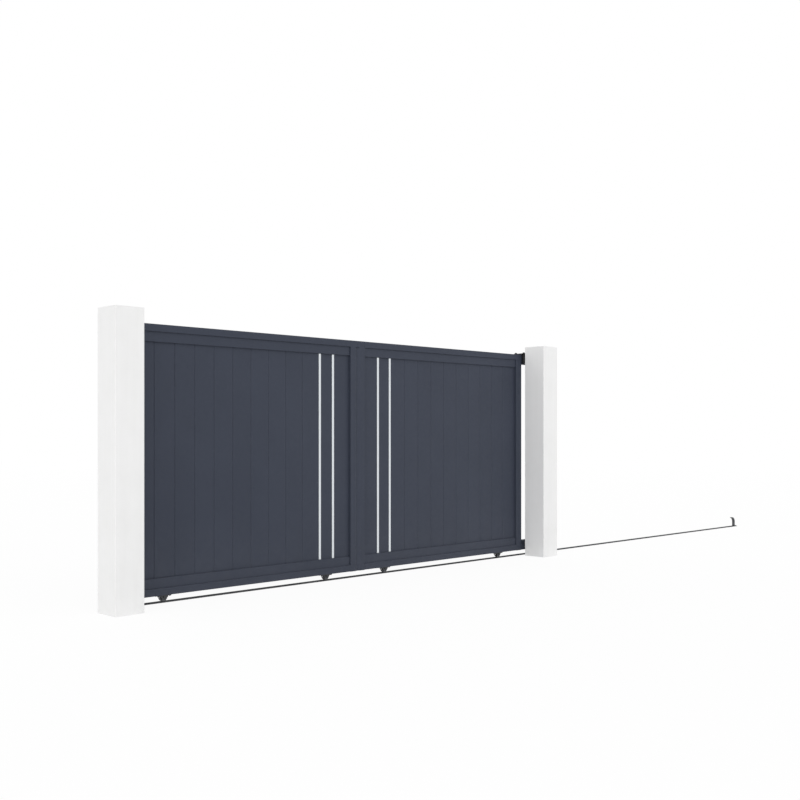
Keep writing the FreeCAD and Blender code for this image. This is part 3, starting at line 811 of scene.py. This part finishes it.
def plug(bm, low, high, valley_side):
    """Flange under one stile. A meeting stile has its street corner cut on the valley's side."""
    centre = Vector(((low.x + high.x) / 2, gate_line, low.z - plug_depth / 2))
    size = Vector((high.x - low.x - 2 * plug_inset, high.y - low.y - 2 * plug_inset, plug_depth))
    matrix = Matrix.Translation(centre) @ Matrix.Diagonal((*size, 1))
    cube = bmesh.ops.create_cube(bm, size=1, matrix=matrix)["verts"]
    if valley_side:
        outward = Vector((valley_side * valley_depth, -valley_reach, 0)).normalized()
        corner = Vector((middle - valley_side * valley_reach, low.y, 0)) - outward * plug_inset
        edges = {edge for vert in cube for edge in vert.link_edges}
        faces = {face for vert in cube for face in vert.link_faces}
        cut = bmesh.ops.bisect_plane(bm, geom=[*cube, *edges, *faces], plane_co=corner,
                                     plane_no=outward, clear_outer=True)
        rim = [part for part in cut["geom_cut"] if isinstance(part, bmesh.types.BMEdge)]
        bmesh.ops.edgeloop_fill(bm, edges=rim)


bm = bmesh.new()
valley_sides = {"meeting_stile_left": 1, "meeting_stile_right": -1}
for name in ("left_stile", "meeting_stile_left", "meeting_stile_right", "right_stile", "tail_stile"):
    low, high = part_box(name)
    plug(bm, low, high, valley_sides.get(name, 0))
bmesh.ops.recalc_face_normals(bm, faces=bm.faces)
ease(bm, bm.edges[:], plug_edge)
piece_from(bm, "stile_plugs", nylon_finish, "leaf")

# %% [markdown]
# ## Floor
# The floor is one large pale plane that fades into a white background. For the camera, and in
# reflections, it is mostly white of strength one, and the rest is a pale matt surface that still
# takes the gate's shadow. A plain white floor would clip, and a grey one would end in a hard
# line at the horizon. From seven metres on the white share grows, so that no edge shows where
# the plane ends.

# %% Floor
floor_reach = 60
floor_tones = [(0.3, (0.93, 0.93, 0.93)), (0.7, (0.95, 0.95, 0.95))]
white_near = 0.93
fade_start, fade_end = 7, 30


def studio_floor():
    finish = Finish("studio_floor", roughness=0.9, specular=0.1)
    tone = finish.tint(finish.noise(0.8), floor_tones)
    glow = finish.add("ShaderNodeEmission")
    glow.inputs["Strength"].default_value = 1
    rays = finish.add("ShaderNodeLightPath")
    seen = finish.sums("MAXIMUM", rays.outputs["Is Camera Ray"], rays.outputs["Is Glossy Ray"])
    seen = finish.sums("MAXIMUM", seen, rays.outputs["Is Transmission Ray"])
    away = finish.add("ShaderNodeVectorMath", operation="LENGTH")
    finish.join(finish.place, away.inputs[0])
    white_share = finish.spread(away.outputs["Value"], white_near, 1, start=fade_start, end=fade_end)
    mix = finish.add("ShaderNodeMixShader")
    finish.join(finish.sums("MULTIPLY", seen, white_share), mix.inputs[0])
    finish.join(finish.shader.outputs[0], mix.inputs[1])
    finish.join(glow.outputs[0], mix.inputs[2])
    finish.join(mix.outputs[0], finish.tree.nodes["Material Output"].inputs["Surface"])
    return finish.wear(tone)


bm = bmesh.new()
bmesh.ops.create_grid(bm, x_segments=1, y_segments=1, size=floor_reach)
floor_mesh = bpy.data.meshes.new("floor")
bm.to_mesh(floor_mesh)
bm.free()
floor_mesh.materials.append(studio_floor())
floor = bpy.data.objects.new("floor", floor_mesh)
floor.location = (middle, 0, 0)
bpy.context.scene.collection.objects.link(floor)
print("floor is", 2 * floor_reach, "m across")

# %% [markdown]
# ## Sky and sun
# The gate is lit by an even pale sky and by one wide soft sun that stands over the street, where
# the photographer is. A sun reaches the far end of a gate this long as well as the near end, which
# a lamp in a studio can't do. Together they give a level at which a colour renders about as it is
# written. What the camera sees behind the gate, or reflected in it, is white of strength one,
# whatever the sky gives as light. Light Path tells these rays from the ones that only carry light.

# %% Sky and sun
sky_strength = 0.80
sun_strength = 1.13
sun_width = math.radians(90)
sun_place = Vector((-1, -1, 0.7))

world = bpy.data.worlds.new("pale_sky")
world.use_nodes = True
air = world.node_tree
sky = air.nodes["Background"]
sky.inputs["Color"].default_value = (1, 1, 1, 1)
sky.inputs["Strength"].default_value = sky_strength
white = air.nodes.new("ShaderNodeBackground")
white.inputs["Color"].default_value = (1, 1, 1, 1)
white.inputs["Strength"].default_value = 1
rays = air.nodes.new("ShaderNodeLightPath")
seen = rays.outputs["Is Camera Ray"]
for other in ("Is Glossy Ray", "Is Transmission Ray"):
    either = air.nodes.new("ShaderNodeMath")
    either.operation = "MAXIMUM"
    air.links.new(seen, either.inputs[0])
    air.links.new(rays.outputs[other], either.inputs[1])
    seen = either.outputs[0]
choice = air.nodes.new("ShaderNodeMixShader")
for socket, number in ((seen, 0), (sky.outputs[0], 1), (white.outputs[0], 2)):
    air.links.new(socket, choice.inputs[number])
air.links.new(choice.outputs[0], air.nodes["World Output"].inputs["Surface"])
bpy.context.scene.world = world

sun_data = bpy.data.lights.new("street_light", "SUN")
sun_data.angle = sun_width
sun_data.energy = sun_strength
sun = bpy.data.objects.new("street_light", sun_data)
sun.rotation_euler = (-sun_place).to_track_quat("-Z", "Y").to_euler()
bpy.context.scene.collection.objects.link(sun)
print("sun of strength", sun_strength, "under a sky of strength", sky_strength)

# %% [markdown]
# ## Camera
# The photograph was taken level, from the street, at about chest height and turned forty-five
# degrees to the gate. The lens was worked out from where the lines of the leaf meet. The horizon
# lies a little under the middle of the frame. That is a small upward shift of the lens, because
# tilting the camera would make the pillars lean.

# %% Camera
lens_mm, lens_shift = 47.0, 0.0405
camera_place = (-3.338, -5.730, 1.109)
camera_turn = math.radians(-45.18)
level = math.radians(90)

camera_data = bpy.data.cameras.new("camera")
camera_data.lens = lens_mm
camera_data.sensor_width = 36
camera_data.shift_y = lens_shift
camera_data.clip_end = 200
camera = bpy.data.objects.new("camera", camera_data)
camera.location = camera_place
camera.rotation_euler = (level, 0, camera_turn)
bpy.context.scene.collection.objects.link(camera)
bpy.context.scene.camera = camera
bpy.context.scene.view_settings.view_transform = "Standard"
print("camera at", tuple(camera.location), "with a lens of", camera_data.lens, "mm")
